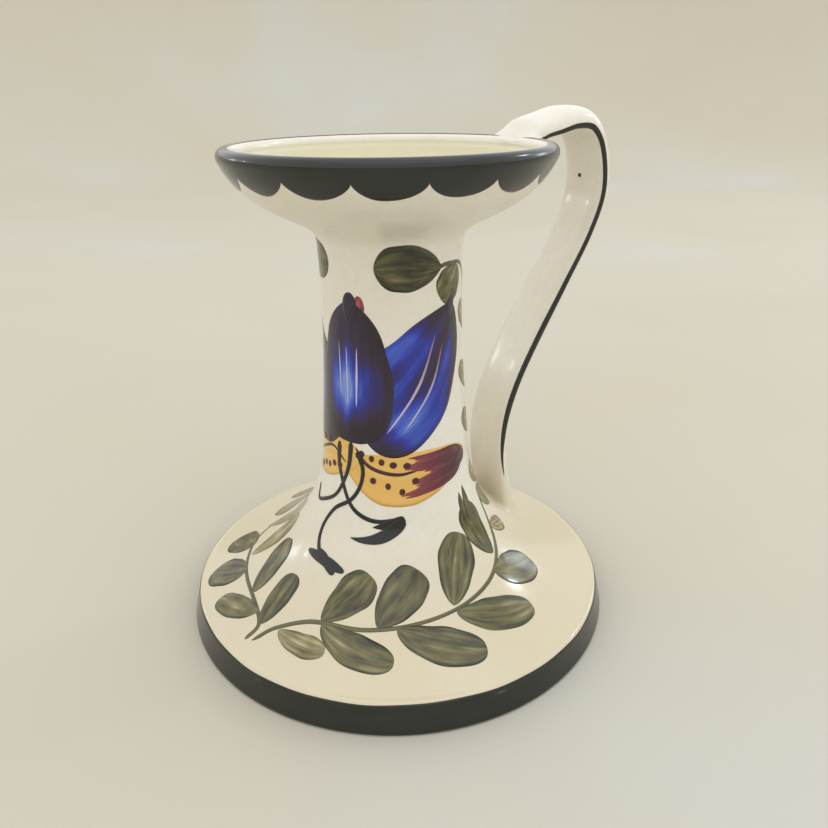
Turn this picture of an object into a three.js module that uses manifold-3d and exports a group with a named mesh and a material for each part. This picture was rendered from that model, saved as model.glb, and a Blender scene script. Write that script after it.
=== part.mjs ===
// A glazed ceramic pitcher: a flared mouth on a slender hollow column, a broad hollow foot with a flat floor,
// and one strap handle from the lip to the foot. Every piece is luted to its neighbour with a thin layer of slip.
// Millimetres, +Z up. The origin is on the vessel's axis, in the plane it stands on, and the handle lies towards +X.
import * as THREE from "three";
import { mergeVertices } from "three/addons/utils/BufferGeometryUtils.js";
import Module from "manifold-3d";

const wasm = await Module();
wasm.setup();

// ---- driving dimensions ----
const WALL = 4.5; // thickness of the thrown walls
const SLIP = 0.8; // thickness of a slip layer between two pieces
const GAP = 0.3; // clearance on each side of a slip layer

const FOOT_RADIUS = 66.5; // where the foot meets the table
const BAND_HEIGHT = 9.2; // upright edge of the foot
const BAND_TAPER = 1.7; // how much narrower the edge is at its top
const EDGE_ROUND = 0.9; // rounding of the foot's lower edge
const SHOULDER_ROUND = 1.6; // rounding between the edge and the flare
const FOOT_WALL = 5; // thickness of the foot's upright edge
const FLOOR_THICKNESS = 4.5;

const NECK_RADIUS = 22.3; // top of the foot, where the column starts
const NECK_HEIGHT = 56;
const WAIST_RADIUS = 20.1; // narrowest place of the column
const WAIST_HEIGHT = 104;
const THROAT_RADIUS = 20.5; // top of the column, where the bowl starts
const THROAT_HEIGHT = 115.5;

const RIM_RADIUS = 44.8; // outside of the lip
const RIM_HEIGHT = 140.2; // top of the lip
const LIP_ROUND = 2.2; // radius of the rolled lip

const HANDLE_WIDTH = 17;
const HANDLE_THICKNESS = 6.4;
const HANDLE_ROUND = 2.6; // rounding of the strap's long edges
const HANDLE_REACH = 72.4; // from the axis to the middle of the strap, at its furthest
const HANDLE_RISE = 5.8; // middle of the strap above the lip, at its highest
const HANDLE_GRIP_DROP = 18; // the furthest place of the strap below the lip
const HANDLE_LOW_REACH = 37.4; // from the axis to the strap, where it runs beside the foot's neck
const COIL_ROUND = 2.3; // radius of the clay coil worked round each end of the handle
const COIL_STAND_OFF = 0.6; // from the strap's surface to the middle of the coil

const ROUND_STEPS = 48; // facets round the axis
const CURVE_STEPS = 8; // facets along each long curve of a profile
const STRAP_STEPS = 36;
const MERGE = 0.05; // profile points closer than this to a cut are left out

// ---- shared geometry ----
const point = (radius, height) => new THREE.Vector2(radius, height);

// Points of a cubic curve in a profile, from the first to the last.
function cubic(start, startPull, endPull, end, steps = CURVE_STEPS) {
  return new THREE.CubicBezierCurve(start, startPull, endPull, end).getPoints(steps);
}

// Points of an arc in a profile; angles in degrees, 0 outwards and 90 upwards.
function arc(centre, radius, from, to, steps = 6) {
  const turn = THREE.MathUtils.degToRad;
  const clockwise = to < from;
  const curve = new THREE.EllipseCurve(centre.x, centre.y, radius, radius, turn(from), turn(to), clockwise);
  return curve.getPoints(steps);
}

// The same line moved sideways: to its left for a positive distance, seen along the line.
function offset(line, distance) {
  return line.map((here, i) => {
    const before = line[Math.max(i - 1, 0)];
    const after = line[Math.min(i + 1, line.length - 1)];
    const along = after.clone().sub(before).normalize();
    return point(here.x - along.y * distance, here.y + along.x * distance);
  });
}

// A body of revolution about +Z from a profile that closes on itself or starts and ends on the axis.
function turned(profile) {
  return new THREE.LatheGeometry(profile, ROUND_STEPS).rotateX(Math.PI / 2);
}

// A ring from an outer and an inner line, both running upwards.
function ring(outer, inner) {
  return turned([...outer, ...[...inner].reverse(), outer[0].clone()]);
}

// A profile line closed to the axis at both ends.
function filled(line) {
  return turned([point(0, line[0].y), ...line, point(0, line.at(-1).y)]);
}

function toSolid(geometry) {
  const bare = geometry.clone();
  bare.deleteAttribute("normal");
  bare.deleteAttribute("uv");
  const merged = mergeVertices(bare, 1e-4);
  return new wasm.Manifold(
    new wasm.Mesh({
      numProp: 3,
      vertProperties: new Float32Array(merged.attributes.position.array),
      triVerts: new Uint32Array(merged.index.array),
    }),
  );
}

function toGeometry(solid) {
  const mesh = solid.getMesh();
  return new THREE.BufferGeometry()
    .setAttribute("position", new THREE.BufferAttribute(mesh.vertProperties, 3))
    .setIndex(new THREE.BufferAttribute(mesh.triVerts, 1));
}

// ---- profiles of the thrown pieces, as (radius, height) lines running upwards ----
const bandTopRadius = FOOT_RADIUS - BAND_TAPER;
const shoulder = point(bandTopRadius - SHOULDER_ROUND, BAND_HEIGHT);
const flareWidth = shoulder.x - NECK_RADIUS;
const flareHeight = NECK_HEIGHT - BAND_HEIGHT;

const flareLine = cubic(
  shoulder,
  point(shoulder.x - flareWidth * 0.56, BAND_HEIGHT + flareHeight * 0.17),
  point(NECK_RADIUS + flareWidth * 0.02, BAND_HEIGHT + flareHeight * 0.38),
  point(NECK_RADIUS, NECK_HEIGHT),
  CURVE_STEPS + 4,
);
const footOuter = [
  ...arc(point(FOOT_RADIUS - EDGE_ROUND, EDGE_ROUND), EDGE_ROUND, -90, 0, 3),
  ...arc(point(shoulder.x, BAND_HEIGHT - SHOULDER_ROUND), SHOULDER_ROUND, 5, 80, 3),
  ...flareLine,
];
const columnOuter = [
  ...cubic(
    point(NECK_RADIUS, NECK_HEIGHT),
    point(NECK_RADIUS - 1.1, NECK_HEIGHT + 17),
    point(WAIST_RADIUS, WAIST_HEIGHT - 19),
    point(WAIST_RADIUS, WAIST_HEIGHT),
    6,
  ),
  point(THROAT_RADIUS, THROAT_HEIGHT),
];
const bowlHeight = RIM_HEIGHT - LIP_ROUND - THROAT_HEIGHT;
const bowlWidth = RIM_RADIUS - THROAT_RADIUS;
const bowlOuter = cubic(
  point(THROAT_RADIUS, THROAT_HEIGHT),
  point(THROAT_RADIUS + bowlWidth * 0.02, THROAT_HEIGHT + bowlHeight * 0.32),
  point(THROAT_RADIUS + bowlWidth * 0.72, THROAT_HEIGHT + bowlHeight * 0.28),
  point(RIM_RADIUS, RIM_HEIGHT - LIP_ROUND),
  CURVE_STEPS + 2,
);
const lipCentre = point(RIM_RADIUS - LIP_ROUND, RIM_HEIGHT - LIP_ROUND);

// The part of a line above one height and below another, with new points at both.
function between(line, low, high) {
  const at = (height) => {
    const i = line.findIndex((p, k) => k > 0 && p.y >= height && line[k - 1].y <= height);
    const [below, above] = [line[i - 1], line[i]];
    const share = above.y === below.y ? 0 : (height - below.y) / (above.y - below.y);
    return below.clone().lerp(above, share);
  };
  const inside = line.filter((p) => p.y > low + MERGE && p.y < high - MERGE);
  return [at(low), ...inside, at(high)];
}

// Height of the foot's outer surface at one radius.
function flareHeightAt(radius) {
  const i = flareLine.findIndex((p, k) => k > 0 && p.x <= radius && flareLine[k - 1].x >= radius);
  const [out, inn] = [flareLine[i - 1], flareLine[i]];
  return THREE.MathUtils.mapLinear(radius, out.x, inn.x, out.y, inn.y);
}

// ---- floor and foot ----
const edgeInner = FOOT_RADIUS - FOOT_WALL;
const halfJoint = SLIP / 2 + GAP; // a piece stops this far short of the middle of its joint

function footShell() {
  const top = NECK_HEIGHT - halfJoint;
  const outer = [...footOuter.filter((p) => p.y < top - MERGE), point(NECK_RADIUS, top)];
  const underFlare = offset(flareLine, WALL).filter(
    (p) => p.x < edgeInner - MERGE && p.y < top - MERGE,
  );
  const inner = [
    point(edgeInner, 0),
    point(edgeInner, FLOOR_THICKNESS),
    ...underFlare,
    point(NECK_RADIUS - WALL, top),
  ];
  return ring(outer, inner);
}

const floorRadius = edgeInner - SLIP - 2 * GAP;

function floorDisc() {
  return turned([
    point(0, 0),
    point(floorRadius, 0),
    point(floorRadius, FLOOR_THICKNESS),
    point(0, FLOOR_THICKNESS),
  ]);
}

function floorSlip() {
  const outer = [point(edgeInner - GAP, GAP), point(edgeInner - GAP, FLOOR_THICKNESS - GAP)];
  const inner = outer.map((p) => point(p.x - SLIP, p.y));
  return ring(outer, inner);
}

// ---- column and its two slip rings ----
function column() {
  const outer = between(columnOuter, NECK_HEIGHT + halfJoint, THROAT_HEIGHT - halfJoint);
  return ring(outer, outer.map((p) => point(p.x - WALL, p.y)));
}

function slipRing(radius, height) {
  const outer = [point(radius, height - SLIP / 2), point(radius, height + SLIP / 2)];
  return ring(outer, outer.map((p) => point(p.x - WALL, p.y)));
}

// ---- bowl with its rolled lip ----
function bowl() {
  const start = THROAT_HEIGHT + halfJoint;
  const outer = between(bowlOuter, start, RIM_HEIGHT - LIP_ROUND);
  const lip = arc(lipCentre, LIP_ROUND, 0, 180, 8);
  const lipInside = lip.at(-1);
  const inside = offset(bowlOuter, WALL).filter((p) => p.y > start + MERGE && p.x < lipInside.x - MERGE);
  return ring([...outer, ...lip.slice(1, -1)], [point(THROAT_RADIUS - WALL, start), ...inside, lipInside]);
}

// The bowl and the foot as filled bodies grown by a distance, to fit the handle's ends to them.
function grownBowl(distance) {
  const line = offset(bowlOuter, -distance);
  const lip = arc(lipCentre, LIP_ROUND + distance, 0, 90, 6);
  return toSolid(filled([...line.slice(0, -1), ...lip]));
}

function grownFoot(distance) {
  return toSolid(filled(offset(footOuter, -distance)));
}

// ---- handle ----
const handleLowHeight = NECK_HEIGHT - 11; // where the strap is closest to the foot's neck
const landingRadius = HANDLE_LOW_REACH + 4.5; // where the strap lands on the flare
const landingHeight = flareHeightAt(landingRadius);
const gripHeight = RIM_HEIGHT - HANDLE_GRIP_DROP;
const topHeight = RIM_HEIGHT + HANDLE_RISE;
const fallReach = HANDLE_REACH - HANDLE_LOW_REACH;
const fallHeight = gripHeight - handleLowHeight;

const handleCurve = new THREE.CatmullRomCurve3(
  [
    [RIM_RADIUS - 12, RIM_HEIGHT - 7.2],
    [RIM_RADIUS - 2, RIM_HEIGHT - 1.8],
    [RIM_RADIUS + (HANDLE_REACH - RIM_RADIUS) * 0.2, topHeight - 1.3],
    [RIM_RADIUS + (HANDLE_REACH - RIM_RADIUS) * 0.48, topHeight],
    [HANDLE_REACH - 4.2, gripHeight + HANDLE_GRIP_DROP],
    [HANDLE_REACH, gripHeight],
    [HANDLE_LOW_REACH + fallReach * 0.64, handleLowHeight + fallHeight * 0.655],
    [HANDLE_LOW_REACH + fallReach * 0.15, handleLowHeight + fallHeight * 0.27],
    [HANDLE_LOW_REACH, handleLowHeight],
    [HANDLE_LOW_REACH + 1.3, (handleLowHeight + landingHeight) / 2 + 1],
    [landingRadius, landingHeight],
    [landingRadius + 3.4, landingHeight - 8],
  ].map(([reach, height]) => new THREE.Vector3(reach, 0, height)),
  false,
  "centripetal",
);

// Outline of the strap's section grown by a distance: a rectangle with round corners.
function strapSection(grow = 0) {
  const halfWidth = HANDLE_WIDTH / 2 + grow;
  const halfThickness = HANDLE_THICKNESS / 2 + grow;
  const round = HANDLE_ROUND + grow;
  const shape = new THREE.Shape();
  const corners = [
    [halfWidth - round, halfThickness - round, 0],
    [round - halfWidth, halfThickness - round, 90],
    [round - halfWidth, round - halfThickness, 180],
    [halfWidth - round, round - halfThickness, 270],
  ];
  const outline = corners.flatMap(([x, y, from]) => arc(point(x, y), round, from, from + 90, 4));
  return shape.setFromPoints(outline);
}

function strap(grow = 0) {
  const geometry = new THREE.ExtrudeGeometry(strapSection(grow), {
    steps: STRAP_STEPS,
    extrudePath: handleCurve,
    bevelEnabled: false,
  });
  return toSolid(geometry);
}

// A coil of clay round the strap where it meets a neighbour: a ring stretched to the strap's section. It is centred on
// the strap at one share of its length, and lies square to a direction in the handle's plane.
function coil(share, direction) {
  const geometry = new THREE.TorusGeometry(HANDLE_WIDTH, COIL_ROUND, 10, 28);
  const position = geometry.attributes.position;
  for (let i = 0; i < position.count; i++) {
    const angle = Math.atan2(position.getY(i), position.getX(i));
    const out = Math.hypot(position.getX(i), position.getY(i)) - HANDLE_WIDTH + COIL_STAND_OFF;
    position.setX(i, (HANDLE_THICKNESS / 2 + out) * Math.cos(angle));
    position.setY(i, (HANDLE_WIDTH / 2 + out) * Math.sin(angle));
  }
  const side = new THREE.Vector3(0, 1, 0);
  const across = new THREE.Vector3().crossVectors(side, direction);
  const frame = new THREE.Matrix4().makeBasis(across, side, direction).setPosition(handleCurve.getPointAt(share));
  return toSolid(geometry.applyMatrix4(frame));
}

// The share of the strap's length at which its middle first rises above a height, from its rim end or its foot end.
function shareAbove(height, fromFoot) {
  const steps = 400;
  for (let i = 0; i <= steps; i++) {
    const share = fromFoot ? 1 - i / steps : i / steps;
    if (handleCurve.getPointAt(share).z > height) return share;
  }
  throw new Error("the handle never rises to " + height);
}

const jointThickness = SLIP + 2 * GAP;
const wholeStrap = strap();
const clearStrap = strap(GAP);
const handle = wholeStrap.subtract(grownBowl(jointThickness)).subtract(grownFoot(jointThickness));
const slipAtRim = wholeStrap.intersect(grownBowl(SLIP + GAP)).subtract(grownBowl(GAP));
const slipAtFoot = wholeStrap.intersect(grownFoot(SLIP + GAP)).subtract(grownFoot(GAP));

const rimShare = shareAbove(RIM_HEIGHT - LIP_ROUND / 2, false);
const footShare = shareAbove(landingHeight + jointThickness, true);
const flareNormal = new THREE.Vector3(
  flareHeightAt(landingRadius - 1) - flareHeightAt(landingRadius + 1),
  0,
  2,
).normalize();
const coilAtRim = coil(rimShare, handleCurve.getTangentAt(rimShare)).subtract(grownBowl(GAP)).subtract(clearStrap);
const coilAtFoot = coil(footShare, flareNormal).subtract(grownFoot(GAP)).subtract(clearStrap);

// ---- materials ----
function glaze(color) {
  return new THREE.MeshStandardMaterial({ color, roughness: 0.2, metalness: 0 });
}
function clay(color) {
  return new THREE.MeshStandardMaterial({ color, roughness: 0.85, metalness: 0 });
}

// ---- assembly ----
const pitcher = new THREE.Group();

function add(parent, name, geometry, material) {
  const mesh = new THREE.Mesh(geometry, material);
  mesh.name = name;
  parent.add(mesh);
}

add(pitcher, "floor_disc", floorDisc(), clay("#b9a588"));
add(pitcher, "floor_slip", floorSlip(), clay("#a8947a"));
add(pitcher, "foot_shell", footShell(), glaze("#ded2b4"));
add(pitcher, "column_foot_slip", slipRing(NECK_RADIUS, NECK_HEIGHT), clay("#a8947a"));
add(pitcher, "column", column(), glaze("#ded2b4"));
add(pitcher, "column_bowl_slip", slipRing(THROAT_RADIUS, THROAT_HEIGHT), clay("#a8947a"));
add(pitcher, "bowl", bowl(), glaze("#e1daaf"));
add(pitcher, "handle", toGeometry(handle), glaze("#ded2b4"));
add(pitcher, "handle_rim_slip", toGeometry(slipAtRim), clay("#a8947a"));
add(pitcher, "handle_foot_slip", toGeometry(slipAtFoot), clay("#a8947a"));
add(pitcher, "handle_rim_coil", toGeometry(coilAtRim), glaze("#ded2b4"));
add(pitcher, "handle_foot_coil", toGeometry(coilAtFoot), glaze("#ded2b4"));

export default pitcher;
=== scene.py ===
"""Looks for the glazed ceramic pitcher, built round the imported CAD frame.

Blender objects are in metres, +Z up, on the floor plane z = 0, with the handle towards +X. Sizes below are
in millimetres unless they say otherwise. A place on the vessel is given as (angle, run): degrees round the
axis from the side that faces the camera, to its right, and millimetres along the outline, up from the
shoulder of the foot.
"""
import math

import bpy
import numpy as np
from mathutils import Matrix, Vector


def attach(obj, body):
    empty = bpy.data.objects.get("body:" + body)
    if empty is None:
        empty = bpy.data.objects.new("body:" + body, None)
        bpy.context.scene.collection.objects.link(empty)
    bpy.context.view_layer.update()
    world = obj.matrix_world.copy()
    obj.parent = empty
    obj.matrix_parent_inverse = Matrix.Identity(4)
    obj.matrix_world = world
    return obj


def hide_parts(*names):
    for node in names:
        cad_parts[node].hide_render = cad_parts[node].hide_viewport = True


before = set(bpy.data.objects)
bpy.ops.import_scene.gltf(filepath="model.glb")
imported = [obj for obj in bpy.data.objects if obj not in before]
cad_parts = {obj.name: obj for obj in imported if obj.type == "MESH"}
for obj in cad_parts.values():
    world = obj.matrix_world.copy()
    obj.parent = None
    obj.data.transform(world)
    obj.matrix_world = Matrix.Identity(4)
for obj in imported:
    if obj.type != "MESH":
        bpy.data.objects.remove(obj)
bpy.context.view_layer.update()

MM = 0.001
FACING = -30.0  # the side that faces the camera, in degrees round from -Y towards +X

# ---- sizes, the same as the CAD's ----
WALL = 4.5
FOOT_RADIUS = 66.5
FOOT_INNER = 61.5
BAND_HEIGHT = 9.2
BAND_TAPER = 1.7
EDGE_ROUND = 0.9
SHOULDER_ROUND = 1.6
FLOOR_THICKNESS = 4.5
NECK = (22.3, 56.0)
WAIST = (20.1, 104.0)
THROAT = (20.5, 115.5)
RIM_RADIUS = 44.8
RIM_HEIGHT = 140.2
LIP_ROUND = 2.2

ROUND_STEPS = 240
PAINT_LIFT = 0.03  # the first coat of colour stands this far out of the glaze
PAINT_DEPTH = 0.08  # and its underside lies this far inside it
LAYER_LIFT = 0.016  # each coat that lies over others stands out by this much more
FINE_STEP = 0.05  # spacing of the outline's points where the handle is fitted to it


# ---- the vessel's outline ----
def cubic(start, pull, push, end, count):
    t = np.linspace(0, 1, count)[:, None]
    a, b, c, d = (np.array(p, float) for p in (start, pull, push, end))
    return a * (1 - t) ** 3 + b * 3 * t * (1 - t) ** 2 + c * 3 * t**2 * (1 - t) + d * t**3


def arc(centre, radius, first, last, count):
    turn = np.radians(np.linspace(first, last, count))
    return np.array(centre) + radius * np.stack([np.cos(turn), np.sin(turn)], 1)


def normals(line):
    """Unit normals of a line of (radius, height) points, to its right: outwards where the line runs up."""
    along = np.gradient(line, axis=0)
    along /= np.linalg.norm(along, axis=1)[:, None]
    return np.stack([along[:, 1], -along[:, 0]], 1)


shoulder = np.array([FOOT_RADIUS - BAND_TAPER - SHOULDER_ROUND, BAND_HEIGHT])
flare_width = shoulder[0] - NECK[0]
flare_height = NECK[1] - BAND_HEIGHT
bowl_width = RIM_RADIUS - THROAT[0]
bowl_height = RIM_HEIGHT - LIP_ROUND - THROAT[1]
lip_centre = (RIM_RADIUS - LIP_ROUND, RIM_HEIGHT - LIP_ROUND)
LIP_START = -22.8  # where the bowl runs into the rolled lip, in degrees round the lip's own centre

edge_line = np.concatenate(
    [
        [(62.2, 0.25), (63.0, 0.0)],
        arc((FOOT_RADIUS - EDGE_ROUND, EDGE_ROUND), EDGE_ROUND, -90, 0, 6),
        [(FOOT_RADIUS - 0.6, 3.2), (FOOT_RADIUS - 1.15, 5.4)],
        arc((shoulder[0], BAND_HEIGHT - SHOULDER_ROUND), SHOULDER_ROUND, 8, 80, 7),
    ]
)
flare_line = cubic(
    shoulder,
    (shoulder[0] - flare_width * 0.56, BAND_HEIGHT + flare_height * 0.17),
    (NECK[0] + flare_width * 0.02, BAND_HEIGHT + flare_height * 0.38),
    NECK,
    90,
)
column_line = cubic(NECK, (NECK[0] - 1.1, NECK[1] + 17), (WAIST[0], WAIST[1] - 19), WAIST, 44)
throat_line = np.linspace(WAIST, THROAT, 10)
bowl_line = cubic(
    THROAT,
    (THROAT[0] + bowl_width * 0.02, THROAT[1] + bowl_height * 0.32),
    (THROAT[0] + bowl_width * 0.72, THROAT[1] + bowl_height * 0.28),
    arc(lip_centre, LIP_ROUND, LIP_START, LIP_START, 1)[0],
    52,
)
lip_line = arc(lip_centre, LIP_ROUND, LIP_START, 180, 23)
wall_line = np.concatenate([flare_line, column_line[1:], throat_line[1:], bowl_line[1:]])
inner_wall = wall_line - normals(wall_line) * WALL
below_lip = inner_wall[inner_wall[:, 0] < lip_line[-1, 0] - 0.15]
inner_line = below_lip[below_lip[:, 0] < FOOT_INNER - 0.2][::-3]
OUTER = np.concatenate([edge_line, wall_line, lip_line[1:], inner_line[:40]])
OUTER_NORMAL = normals(OUTER)
RUN = np.concatenate([[0], np.cumsum(np.linalg.norm(np.diff(OUTER, axis=0), axis=1))])
RUN -= RUN[len(edge_line)]
LIP_RUN = RUN[len(edge_line) + len(wall_line) - 1]  # where the rolled lip starts


def wobble(turn, height):
    """How far the hand-thrown wall stands out of its true circle."""
    wave = 0.11 * np.sin(2 * turn + 0.8 + height / 60) + 0.06 * np.sin(3 * turn - height / 24)
    return wave * np.clip(height / 14, 0, 1)


def from_outline(turn, radius, height):
    radius = radius + wobble(turn, height)
    return MM * np.stack([radius * np.sin(turn), -radius * np.cos(turn), height + 0 * turn], -1)


def radius_at(run):
    return np.interp(run, RUN, OUTER[:, 0])


def on_vessel(angle, run, lift):
    """Points of the vessel's outer surface, moved out by lift."""
    radius = radius_at(run) + lift * np.interp(run, RUN, OUTER_NORMAL[:, 0])
    height = np.interp(run, RUN, OUTER[:, 1]) + lift * np.interp(run, RUN, OUTER_NORMAL[:, 1])
    return from_outline(np.radians(angle + FACING), radius, height)


# ---- meshes ----
def add_piece(name, points, faces, materials, smooth=None, marks=None, face_material=None):
    mesh = bpy.data.meshes.new(name)
    mesh.from_pydata([tuple(p) for p in points], [], [tuple(f) for f in faces])
    for material in materials:
        mesh.materials.append(material)
    flags = np.ones(len(faces), bool) if smooth is None else np.array(smooth, bool)
    mesh.polygons.foreach_set("use_smooth", flags)
    if face_material is not None:
        mesh.polygons.foreach_set("material_index", np.array(face_material, np.int32))
    for mark, values in (marks or {}).items():
        layer = mesh.attributes.new(mark, "FLOAT", "POINT")
        layer.data.foreach_set("value", np.array(values, np.float32))
    mesh.update()
    piece = bpy.data.objects.new(name, mesh)
    bpy.context.scene.collection.objects.link(piece)
    return piece


def tube_faces(rings, around, closed):
    """Quads between rings of points, facing out where rings run up and points run round anticlockwise."""
    faces = []
    for i in range(rings if closed else rings - 1):
        here, above = i * around, (i + 1) % rings * around
        for j in range(around):
            k = (j + 1) % around
            faces.append((here + j, here + k, above + k, above + j))
    return faces


def turned(line):
    """Rings of points about the axis from a line of (radius, height)."""
    turn = np.linspace(0, 2 * math.pi, ROUND_STEPS, endpoint=False)
    return from_outline(turn[None, :], line[:, :1], line[:, 1:2]).reshape(-1, 3)


# ---- materials ----
def srgb(red, green, blue):
    def linear(value):
        value /= 255
        return value / 12.92 if value <= 0.04045 else ((value + 0.055) / 1.055) ** 2.4

    return (linear(red), linear(green), linear(blue), 1.0)


class Recipe:
    """A node material. Inputs take a number, a colour or another node's output."""

    def __init__(self, name):
        self.material = bpy.data.materials.new(name)
        self.material.use_nodes = True
        self.tree = self.material.node_tree
        self.shader = self.tree.nodes["Principled BSDF"]

    def put(self, node, inputs):
        for key, value in inputs.items():
            socket = node.inputs[key]
            if isinstance(value, bpy.types.NodeSocket):
                self.tree.links.new(value, socket)
            else:
                socket.default_value = value
        return node

    def add(self, kind, inputs=None, **settings):
        node = self.tree.nodes.new("ShaderNode" + kind)
        for key, value in settings.items():
            setattr(node, key, value)
        return self.put(node, inputs or {})

    def math(self, operation, first, second=0.0, clamp=False):
        node = self.add("Math", {0: first, 1: second}, operation=operation, use_clamp=clamp)
        return node.outputs[0]

    def times(self, first, second):
        return self.math("MULTIPLY", first, second)

    def plus(self, first, second):
        return self.math("ADD", first, second)

    def one_minus(self, value):
        return self.math("SUBTRACT", 1.0, value)

    def place(self):
        return self.add("TexCoord").outputs["Object"]

    def noise(self, vector, scale, detail, roughness=0.5):
        inputs = {"Vector": vector, "Scale": scale, "Detail": detail, "Roughness": roughness}
        return self.add("TexNoise", inputs).outputs["Fac"]

    def ramp(self, factor, stops, smooth=True):
        node = self.add("ValToRGB", {"Fac": factor})
        node.color_ramp.interpolation = "EASE" if smooth else "LINEAR"
        elements = node.color_ramp.elements
        while len(elements) < len(stops):
            elements.new(0.5)
        for element, (position, colour) in zip(elements, stops):
            element.position = position
            element.color = colour
        return node.outputs["Color"]

    def blend(self, factor, first, second):
        return self.add("Mix", {0: factor, 6: first, 7: second}, data_type="RGBA").outputs[2]

    def between(self, value, low, high):
        """0 below low, 1 above high, and a smooth rise between them."""
        inputs = {"Value": value, "From Min": low, "From Max": high}
        return self.add("MapRange", inputs, interpolation_type="SMOOTHSTEP").outputs[0]

    def mark(self, name):
        return self.add("Attribute", attribute_name=name).outputs["Fac"]

    def gloss(self, colour):
        """The finish of clear glaze over a colour: fine pitting, slow waves and a little uneven gloss."""
        place = self.place()
        waves = self.noise(place, 55, 2)
        pits = self.noise(place, 900, 3)
        height = self.plus(self.times(waves, 0.9), self.times(pits, 0.05))
        bump = self.add("Bump", {"Height": height, "Strength": 0.35, "Distance": 0.0006})
        uneven = self.noise(place, 130, 3)
        rough = self.plus(self.times(uneven, 0.09), GLAZE_ROUGHNESS - 0.04)
        self.put(self.shader, {"Base Color": colour, "Roughness": rough, "Normal": bump.outputs["Normal"]})
        self.shader.inputs["IOR"].default_value = 1.5
        self.shader.inputs["Coat Weight"].default_value = 0.22
        self.shader.inputs["Coat Roughness"].default_value = 0.04
        return self.material


CREAM = srgb(238, 233, 220)
WARM_CREAM = srgb(236, 228, 210)
PALE_CREAM = srgb(240, 237, 227)
FOOT_CREAM = srgb(211, 198, 164)
INSIDE_SHADE_CREAM = srgb(214, 206, 166)
MOTTLE = srgb(206, 190, 155)
IRON_SPECK = srgb(120, 96, 66)
BARE_TONES = [(0.3, srgb(150, 126, 98)), (0.5, srgb(190, 166, 134)), (0.7, srgb(206, 186, 156))]
GLAZE_ROUGHNESS = 0.17


def cream_colour(recipe):
    """Cream glaze over pale clay: a slow drift of tone, fine mottling and a few iron specks.

    It is darker and warmer low on the foot, and darker and yellower inside, where it is a painted shade and bounce
    light of the hollow, which follows the photo.
    """
    place = recipe.place()
    drift = recipe.noise(place, 22, 3)
    colour = recipe.ramp(drift, [(0.3, PALE_CREAM), (0.5, CREAM), (0.72, WARM_CREAM)])
    height = recipe.add("SeparateXYZ", {0: place}).outputs["Z"]
    low = recipe.one_minus(recipe.between(height, 0.012, 0.045))
    colour = recipe.blend(recipe.times(low, 0.8), colour, FOOT_CREAM)
    # Painted shade: inside the vessel the cream is blended towards a darker, yellower tone that stands in for the
    # hollow's shade and bounce light.
    colour = recipe.blend(recipe.times(recipe.mark("inside"), 0.8), colour, INSIDE_SHADE_CREAM)
    mottle = recipe.between(recipe.noise(place, 420, 4, 0.65), 0.35, 0.8)
    colour = recipe.blend(recipe.times(mottle, 0.16), colour, MOTTLE)
    cells = recipe.add("TexVoronoi", {"Vector": place, "Scale": 150.0})
    near = recipe.math("LESS_THAN", cells.outputs["Distance"], 0.05)
    chance = recipe.add("SeparateColor", {0: cells.outputs["Color"]}).outputs[0]
    rare = recipe.math("GREATER_THAN", chance, 0.93)
    return recipe.blend(recipe.times(recipe.times(near, rare), 0.55), colour, IRON_SPECK)


def bare_colour(recipe):
    place = recipe.place()
    grain = recipe.noise(place, 700, 5, 0.7)
    stain = recipe.noise(place, 60, 3)
    return recipe.ramp(recipe.plus(recipe.times(grain, 0.6), recipe.times(stain, 0.4)), BARE_TONES)


def glazed_vessel():
    """Cream glaze that stops just above the ring the vessel stands on."""
    recipe = Recipe("cream_glaze")
    height = recipe.add("SeparateXYZ", {0: recipe.place()}).outputs["Z"]
    ragged = recipe.times(recipe.noise(recipe.place(), 300, 3), 0.0006)
    glazed = recipe.between(recipe.plus(height, ragged), 0.0007, 0.0010)
    colour = recipe.blend(glazed, bare_colour(recipe), cream_colour(recipe))
    recipe.gloss(colour)
    # Rough where the clay is bare, and duller in the hollow under the bowl, where the photo shows no clear
    # reflection.
    above_column = recipe.between(height, 0.112, 0.118)
    in_bowl = recipe.between(height, 0.13, 0.136)
    under_bowl = recipe.times(above_column, recipe.one_minus(in_bowl))
    bare = recipe.times(recipe.one_minus(glazed), 0.6)
    rough = recipe.plus(recipe.times(under_bowl, 0.22), GLAZE_ROUGHNESS)
    recipe.put(recipe.shader, {"Roughness": recipe.plus(rough, bare)})
    return recipe.material


def glazed_strap():
    recipe = Recipe("cream_glaze_handle")
    return recipe.gloss(cream_colour(recipe))


def bare_clay():
    """Unglazed clay with the rings left by turning and a fine grain."""
    recipe = Recipe("bare_clay")
    place = recipe.place()
    rings = recipe.add("TexWave", {"Vector": place, "Scale": 90.0, "Distortion": 1.5, "Detail": 2.0})
    rings.wave_type = "RINGS"
    rings.rings_direction = "Z"
    grain = recipe.noise(place, 1400, 4, 0.7)
    height = recipe.plus(rings.outputs["Fac"], recipe.times(grain, 0.8))
    bump = recipe.add("Bump", {"Height": height, "Strength": 0.5, "Distance": 0.0003})
    rough = recipe.plus(recipe.times(grain, 0.2), 0.72)
    finish = {"Base Color": bare_colour(recipe), "Roughness": rough, "Normal": bump.outputs["Normal"]}
    recipe.put(recipe.shader, finish)
    return recipe.material


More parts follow.
